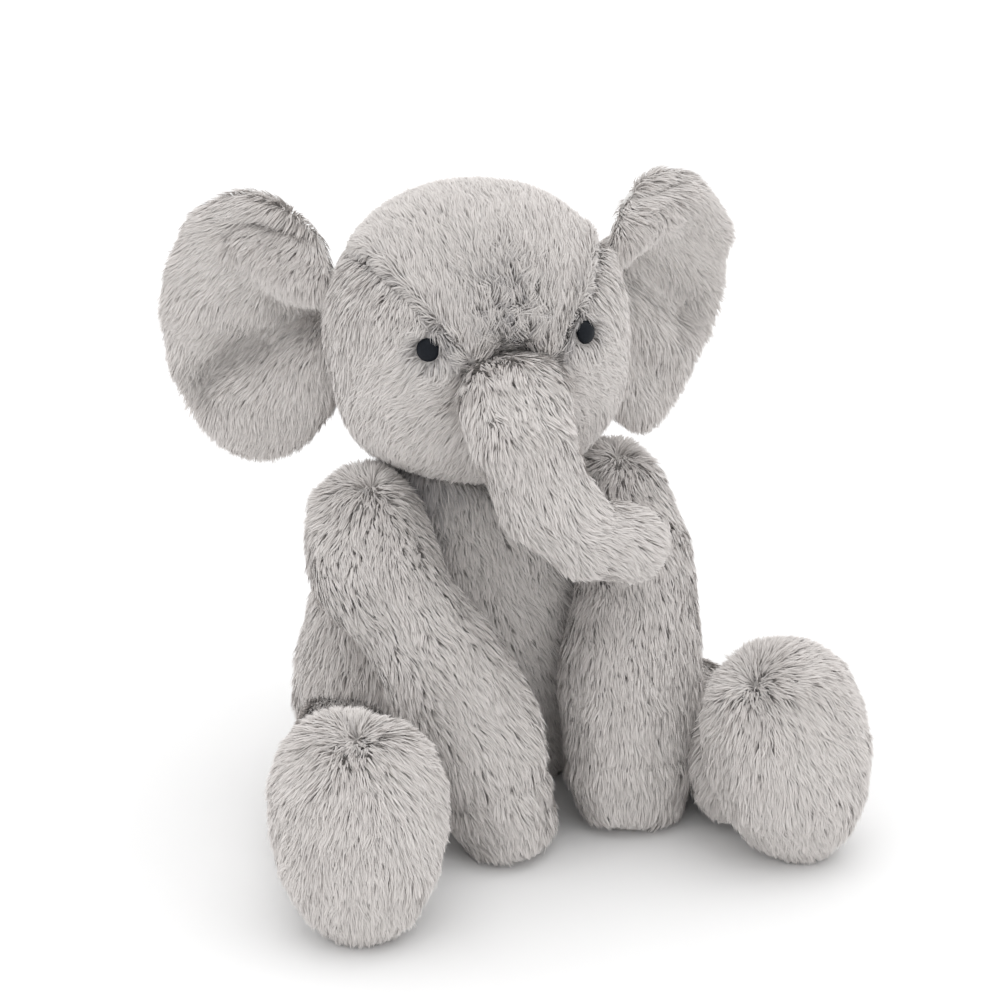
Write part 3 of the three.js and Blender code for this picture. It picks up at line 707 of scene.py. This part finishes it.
def head():
    """The head: a ball with a dish for the trunk's root, full cheeks, and the gusset's seams."""
    panels = ["head_gusset", "head_cheek_left", "head_cheek_right"]
    inside = ["head_filling", "eye_washer_left", "eye_washer_right"]
    skin = remeshed("head_skin", panels + inside, SKIN_GRID)
    relax(skin, 10)
    points = points_of(skin)
    reach = np.linalg.norm(points - HEAD_CENTRE, axis=1)
    dish = np.linalg.norm(points - TRUNK_ROOT, axis=1) < TRUNK_ROOT_RADIUS + 5 * MM
    dish &= head_local(points)[:, 2] < TRUNK_TOP
    free = ~dish & (reach > HEAD_RADIUS - 6 * MM)
    points[free] = HEAD_CENTRE + unit(points[free] - HEAD_CENTRE) * HEAD_RADIUS
    set_points(skin, points)
    relax(skin, 4)
    local = head_local(points_of(skin))
    height = np.zeros(len(local))
    for side in (-1, 1):
        for (x, y, z), rise, radius in HEAD_BULGES:
            away = np.linalg.norm(local - np.array((x * side, y, z)) * MM, axis=1)
            height += rise * MM * bump(away, radius * MM)
    height -= 2.6 * MM * seams(local)
    height += 2.2 * MM * seams(local - np.array((0, 0, 7)) * MM)
    height += 2.2 * MM * bump(near_line(local, brow_line()), 6 * MM)
    swell(skin, height)
    lumps(skin, 0.7 * MM, 30 * MM, 12)
    finished(skin, "head", panels, BACKING)

    eyes = [HEAD_CENTRE + eye_axis(name) * HEAD_RADIUS for name in ("left", "right")]
    eyes = head_local(np.array(eyes))

    def comb(points, normals):
        local = head_local(points)
        front = step(-local[:, 1], 10 * MM, 45 * MM)
        way = np.zeros_like(local)
        way[:, 2] = -1
        out = local - CHEEK_FLOW
        out[:, 1] *= 0.2
        cheek = front * step(-local[:, 2], -14 * MM, 6 * MM)
        way += 1.5 * unit(out) * cheek[:, None]
        for eye in eyes:
            near_eye = bump(np.linalg.norm(local - eye, axis=1), 11 * MM)
            way += 1.3 * near_eye[:, None] * unit(local - eye)
        gusset = step(in_gusset(local), -1 * MM, 5 * MM)[:, None]
        over_top = np.stack((0 * local[:, 0], local[:, 2], -local[:, 1]), axis=-1) / HEAD_RADIUS
        way = (1 - gusset) * way + gusset * (over_top + np.array((-0.12, 0, 0)))
        return tangential(on_head(*way.T), normals)

    def ruffle(points):
        local = head_local(points)
        off = (local - WHORL) * np.array((1, 0.5, 0.66))
        return 0.9 * bump(np.linalg.norm(off, axis=1), 17 * MM)

    # Painted shade: the pile is darker round the eyes and along the gusset's seams.
    def shaded(points):
        local = head_local(points)
        near_eye = sum(bump(np.linalg.norm(local - eye, axis=1), 8 * MM) for eye in eyes)
        return 0.42 * near_eye + 0.28 * seams(local)

    def bare(points):
        local = head_local(points)
        hidden = np.linalg.norm(points - TRUNK_ROOT, axis=1) < TRUNK_ROOT_RADIUS - 1 * MM
        hidden &= local[:, 2] < TRUNK_TOP
        for eye in eyes:
            hidden |= np.linalg.norm(local - eye, axis=1) < EYE_RADIUS + 0.1 * MM
        return hidden

    for index in range(2):
        pile(f"head_pile_{index + 1}", skin, "head", STRANDS["head"], comb,
             ruffle, bare, shaded, seed=30 + index)


def trunk():
    """The trunk, whose root is pressed flat under the lip of the forehead."""
    panels = ["trunk_upper_panel", "trunk_under_panel"]
    skin = remeshed("trunk_skin", panels + ["trunk_filling"], TRUNK_GRID)
    relax(skin, 25)
    points = points_of(skin)
    root_height = TRUNK_ROOT[2] - HEAD_CENTRE[2]
    above = np.maximum(head_local(points)[:, 2] - root_height, 0)
    points[:, 2] -= above * (1 - (TRUNK_TOP - root_height) / TRUNK_ROOT_RADIUS)
    local = head_local(points)
    root_front = TRUNK_ROOT_FORWARD + HEAD_RADIUS
    proud = np.maximum(-local[:, 1] - root_front, 0) * step(local[:, 2], root_height - 24 * MM, TRUNK_TOP)
    points += (0.55 * proud)[:, None] * on_head(0, 1, 0)
    set_points(skin, points)
    swell(skin, ROUNDING)
    lumps(skin, 0.6 * MM, 18 * MM, 13)
    line = centre_line(points_of(skin), TRUNK_ROOT)
    finished(skin, "trunk", panels, BACKING)
    pile("trunk_pile", skin, "trunk", STRANDS["trunk"], along_line(line), seed=40)


def round_pad(name):
    """A unit ball with its poles on Z, as a grid of small faces."""
    shape = bmesh.new()
    bmesh.ops.create_uvsphere(shape, u_segments=120, v_segments=64, radius=1)
    return new_object(name, mesh_of(name, shape))


def ear_axes(side):
    """The middle of an ear, and the ways that it points outwards and forwards."""
    c, s = math.cos(EAR_SWEEP), math.sin(EAR_SWEEP)
    out = HEAD_RADIUS + EAR_HALF_WIDTH - EAR_TUCK
    middle = HEAD_CENTRE + on_head(side * c * out, s * out + EAR_BACK, EAR_RISE)
    return middle, on_head(side * c, s, 0), on_head(side * s, -c, 0)


def ear(name, side, shape):
    """An ear: its pad, shaped by its folds."""
    panels = [f"ear_{name}_front_panel", f"ear_{name}_back_panel"]
    middle, outwards, forwards = ear_axes(side)
    skin = round_pad(f"ear_{name}_skin")
    across, up, through = (points_of(skin) * (side, 1, 1)).T
    rim = across ** 2 + up ** 2
    out, rise, forward = shape(across, up, through > 0)
    thick = np.sign(through) * np.abs(through) ** 0.8 * EAR_HALF_THICKNESS
    points = (middle
              + (across * EAR_HALF_WIDTH + out)[:, None] * outwards
              + (up * EAR_HALF_HEIGHT + rise)[:, None] * (0, 0, 1)
              + (thick + EAR_CUP * rim + forward)[:, None] * forwards)
    reach = np.linalg.norm(points - HEAD_CENTRE, axis=1, keepdims=True)
    clear = np.maximum(reach, HEAD_RADIUS + EAR_GAP)
    set_points(skin, HEAD_CENTRE + (points - HEAD_CENTRE) * clear / reach)
    relax(skin, 3)
    lumps(skin, 0.4 * MM, 14 * MM, 14 + side)
    finished(skin, f"ear_{name}", panels, BACKING)
    fan = middle + outwards * (-0.8 * EAR_HALF_WIDTH) + np.array((0, 0, 1.05 * EAR_HALF_HEIGHT))
    fan = fan - forwards * EAR_HALF_THICKNESS

    def comb(points, normals):
        return tangential(unit(points - fan) + np.array((0, 0, -0.35)), normals)

    def shaded(points):
        """Painted shade: darker where the ear is pressed in, on its front."""
        seen = points - middle
        across, up = seen @ outwards / EAR_HALF_WIDTH, seen[:, 2] / EAR_HALF_HEIGHT
        front = seen @ forwards > 0
        _, _, forward = shape(across, up, front)
        return 0.22 * front * np.clip(-forward / (8 * MM), 0, 1.2)

    pile(f"ear_{name}_pile", skin, f"ear_{name}", STRANDS["ear"], comb, shaded=shaded, seed=50 + side)


def fold(across, up, line, width):
    """1 on a line drawn over an ear, falling to 0 at its sides."""
    places = np.stack((across, up * EAR_HALF_HEIGHT / EAR_HALF_WIDTH, 0 * up), axis=-1)
    drawn = [np.array((a, b * EAR_HALF_HEIGHT / EAR_HALF_WIDTH, 0)) for a, b in line]
    return bump(near_line(places, drawn), width)


def right_ear_shape(across, up, front):
    """The rolled top rim, the pleat beside the head, the valley under it and the full lobes."""
    pleat = fold(across, up, [(-0.95, 0.3), (-0.5, 0.42), (-0.05, 0.66)], 0.24)
    under_pleat = fold(across, up, [(-1.0, 0.02), (-0.62, 0.1), (-0.3, 0.24)], 0.13)
    rim = fold(across, up, [(-0.9, 0.9), (-0.3, 0.97), (0.35, 0.86)], 0.22)
    rim_crease = fold(across, up, [(-0.95, 0.6), (-0.5, 0.76), (-0.1, 0.82), (0.15, 0.72)], 0.09)
    valley = fold(across, up, [(-0.75, 0.12), (-0.3, 0.0), (0.15, -0.2), (0.62, -0.45)], 0.2)
    lower = fold(across, up, [(-0.5, -0.38), (0.1, -0.66)], 0.34)
    upper = fold(across, up, [(0.15, 0.36), (0.6, 0.05)], 0.34)
    forward = 8 * MM * pleat + 3 * MM * rim - 5 * MM * rim_crease * front - 4 * MM * under_pleat * front
    forward += -11 * MM * valley + 4.5 * MM * lower + 4 * MM * upper
    return 0 * forward, 0 * forward, forward


def left_ear_shape(across, up, front):
    """A rolled top, a hollow under it, and a lobe that narrows downwards."""
    roll = fold(across, up, [(-0.95, 0.5), (-0.3, 0.72), (0.3, 0.76), (0.85, 0.5)], 0.24)
    crease = fold(across, up, [(-0.95, 0.68), (-0.4, 0.86), (0.1, 0.9)], 0.08)
    hollow = fold(across, up, [(-0.35, 0.3), (0.1, 0.12), (0.5, -0.1)], 0.27)
    ridge = fold(across, up, [(-0.5, -0.08), (-0.1, -0.35)], 0.2)
    forward = 7 * MM * roll - 4 * MM * crease * front - 11 * MM * hollow + 4 * MM * ridge
    out = 3.5 * MM * step(up, -0.2, 0.6) - 12 * MM * step(-up, -0.1, 0.85) * step(across, -0.5, 0.7)
    return out, 0 * forward, forward


def arm(name, seed):
    """An arm and its paw, which a seam parts."""
    panels = [f"arm_{name}_outer_panel", f"arm_{name}_inner_panel"]
    inside = [f"arm_{name}_filling", f"paw_{name}_bead_bag"]
    skin = remeshed(f"arm_{name}_skin", panels + inside, SKIN_GRID)
    relax(skin, 25)
    root = joint_place(f"arm_{name}")
    line = centre_line(points_of(skin), root)
    swell(skin, ROUNDING + 0.8 * MM)
    lumps(skin, 1.1 * MM, 26 * MM, 15 + seed)
    points = points_of(skin)
    way = unit(line[-2] - line[-4])
    paw_seam = (points - line[-3]) @ way
    swell(skin, -1.3 * MM * bump(paw_seam, 3.5 * MM))
    bulge(skin, root, ARM_BULGES[name])
    on_floor(skin)
    finished(skin, f"arm_{name}", panels, BACKING)

    whorl = root + SHOULDER_WHORL
    limb = along_line(line)

    def comb(points, normals):
        offset = points - whorl
        down = step(np.linalg.norm(offset, axis=1), 20 * MM, 44 * MM)[:, None]
        return tangential(down * limb(points, normals) + (1 - down) * unit(offset), normals)

    def ruffle(points):
        return 0.28 * bump(np.linalg.norm(points - whorl, axis=1), 15 * MM)

    # Painted shade: the pile is darker where the arm lies against the torso.
    def shaded(points):
        return 0.5 * beside(points, ["torso_front_panel"], 7 * MM)

    pile(f"arm_{name}_pile", skin, f"arm_{name}", STRANDS["arm"], comb,
         ruffle, shaded=shaded, seed=60 + seed)


def leg(name, seed):
    """A leg and its foot, whose fur is gathered at its top."""
    panels = [f"sole_{name}", f"leg_{name}_outer_panel", f"leg_{name}_inner_panel"]
    inside = [f"leg_{name}_filling", f"foot_{name}_bead_bag"]
    skin = remeshed(f"leg_{name}_skin", panels + inside, SKIN_GRID)
    relax(skin, 25)
    points = points_of(skin)
    top = points[np.argmax(points[:, 2])]
    gather = top + GATHERS[name]
    offset = points - gather
    around = np.arctan2(offset[:, 0], -offset[:, 2])
    away = np.linalg.norm(offset, axis=1)
    swell(skin, -3.5 * MM * bump(away, 6 * MM)
          + 0.9 * MM * np.cos(9 * around) * bump(away - 13 * MM, 8 * MM))
    bulge(skin, joint_place(f"leg_{name}"), LEG_BULGES[name])
    lumps(skin, 1.1 * MM, 26 * MM, 17 + seed)
    on_floor(skin)
    finished(skin, f"leg_{name}", panels, BACKING)
    root = joint_place(f"leg_{name}")
    low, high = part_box(f"sole_{name}")
    ankle = np.array((low + high) / 2)
    line = np.array([root + (ankle - root) * share for share in (0, 0.25, 0.5, 0.75)])
    limb = along_line(line)

    def comb(points, normals):
        foot = step(np.linalg.norm(points - root, axis=1), FOOT_START, FOOT_FULL)[:, None]
        outward = tangential(unit(points - gather) + np.array((0, 0, -0.6)), normals)
        return (1 - foot) * limb(points, normals) + foot * outward

    def ruffle(points):
        return 0.4 * bump(np.linalg.norm(points - gather, axis=1), 10 * MM)

    for index in range(2):
        pile(f"leg_{name}_pile_{index + 1}", skin, f"leg_{name}", STRANDS["leg"], comb,
             ruffle, seed=70 + 4 * seed + index)


def tail():
    """The small tail."""
    skin = remeshed("tail_skin", ["tail"], TAIL_GRID)
    relax(skin, 12)
    root = joint_place("tail")
    line = centre_line(points_of(skin), root, 6)
    finished(skin, "tail", ["tail"], BACKING)
    pile("tail_pile", skin, "tail", STRANDS["tail"], along_line(line), length=TAIL_PILE, seed=90)


def eye(name):
    """A domed button eye, turned from its half outline."""
    axis = Vector(eye_axis(name))
    seat = Vector(HEAD_CENTRE) + axis * (HEAD_RADIUS + EYE_SEAT)
    outline = [(0, -EYE_STEM_LENGTH), (EYE_STEM_RADIUS, -EYE_STEM_LENGTH)]
    outline += [(EYE_STEM_RADIUS, -0.4 * MM), (EYE_STEM_RADIUS, 0)]
    outline += [(EYE_RADIUS * 0.94, 0), (EYE_RADIUS, EYE_EDGE)]
    for index in range(1, DOME_STEPS + 1):
        angle = index / DOME_STEPS * math.pi / 2
        outline.append((EYE_RADIUS * math.cos(angle), EYE_EDGE + (EYE_DOME - EYE_EDGE) * math.sin(angle)))
    shape = bmesh.new()
    vertices = [shape.verts.new((r, 0, h)) for r, h in outline]
    edges = [shape.edges.new(pair) for pair in zip(vertices[:-1], vertices[1:])]
    bmesh.ops.spin(
        shape, geom=vertices + edges, axis=(0, 0, 1), cent=(0, 0, 0), steps=EYE_TURNS, angle=2 * math.pi,
    )
    bmesh.ops.remove_doubles(shape, verts=shape.verts, dist=1e-6)
    bmesh.ops.recalc_face_normals(shape, faces=shape.faces)
    mesh = mesh_of(f"button_eye_{name}", shape)
    obj = new_object(f"button_eye_{name}", mesh)
    obj.matrix_world = axis.to_track_quat("Z", "Y").to_matrix().to_4x4()
    obj.location = seat
    mesh.materials.append(EYE_PLASTIC)
    mesh.shade_smooth()
    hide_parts(f"eye_{name}")
    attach(obj, "head")


def ear_wadding(name):
    """The wadding of an ear, everywhere the same way under its skin."""
    skin = bpy.data.objects[f"ear_{name}_skin"]
    obj = new_object(f"ear_{name}_wadding_fibre", skin.data.copy())
    obj.data.materials.clear()
    swell(obj, -SKIN_THICKNESS - WADDING_GAP)
    finished(obj, f"ear_{name}", [f"ear_{name}_wadding"], FIBRE)


def repaint(node, material):
    """Gives a CAD node that stays in view a better material."""
    mesh = frame["nodes"][node].data
    mesh.materials.clear()
    mesh.materials.append(material)


def fillings():
    """Everything soft that the skins hold."""
    inside = [("torso_filling", "torso"), ("head_filling", "head"), ("trunk_filling", "trunk")]
    bags = [("seat_bead_bag", "torso")]
    for side in ("left", "right"):
        ear_wadding(side)
        inside += [(f"{limb}_{side}_filling", f"{limb}_{side}") for limb in ("arm", "leg")]
        bags += [(f"paw_{side}_bead_bag", f"arm_{side}"), (f"foot_{side}_bead_bag", f"leg_{side}")]
    for seed, (node, body) in enumerate(inside):
        soft_filling(f"{node}_fibre", node, body, FIBRE, 100 + seed)
    for seed, (node, body) in enumerate(bags):
        soft_filling(f"{node}_cloth", node, body, BEAD_CLOTH, 120 + seed)


# ---------- The floor, the light and the camera ----------

def floor():
    """A plain pale floor."""
    shape = bmesh.new()
    bmesh.ops.create_grid(shape, x_segments=1, y_segments=1, size=6)
    mesh = mesh_of("floor", shape)
    obj = new_object("floor", mesh)
    material, _ = principled("floor", (0.93, 0.93, 0.93), 0.9)
    mesh.materials.append(material)


def sun_light(name, towards, strength, spread):
    """Soft even light from a direction, as from a large overhead softbox."""
    sun = bpy.data.lights.new(name, "SUN")
    sun.energy = strength
    sun.angle = math.radians(spread)
    obj = new_object(name, sun)
    obj.location = towards
    obj.rotation_euler = Vector(towards).to_track_quat("Z", "Y").to_euler()


def light():
    """A white studio with a softbox overhead."""
    world = bpy.data.worlds.new("studio")
    world.use_nodes = True
    background = world.node_tree.nodes["Background"]
    background.inputs["Color"].default_value = (1, 1, 1, 1)
    background.inputs["Strength"].default_value = 1.03
    bpy.context.scene.world = world
    sun_light("overhead", (0.2, 0.0, 1.2), 0.68, 60)
    bpy.context.scene.view_settings.view_transform = "Standard"


def camera():
    """A camera in front of the toy, a little to its right and above."""
    back = Vector((
        math.sin(VIEW_AZIMUTH) * math.cos(VIEW_ELEVATION),
        -math.cos(VIEW_AZIMUTH) * math.cos(VIEW_ELEVATION),
        math.sin(VIEW_ELEVATION),
    ))
    lens = bpy.data.cameras.new("camera")
    lens.sensor_width = SENSOR_WIDTH
    lens.lens = SENSOR_WIDTH * VIEW_DISTANCE / VIEW_WIDTH
    obj = new_object("camera", lens)
    obj.location = Vector(VIEW_TARGET) + back * VIEW_DISTANCE
    obj.rotation_euler = back.to_track_quat("Z", "Y").to_euler()
    bpy.context.scene.camera = obj


camera()
light()
floor()
torso()
head()
trunk()
ear("left", 1, left_ear_shape)
ear("right", -1, right_ear_shape)
arm("left", 1)
arm("right", 2)
leg("left", 1)
leg("right", 2)
tail()
for side in ("left", "right"):
    eye(side)
    repaint(f"eye_washer_{side}", WASHER_PLASTIC)
repaint("neck_thread", THREAD)
fillings()
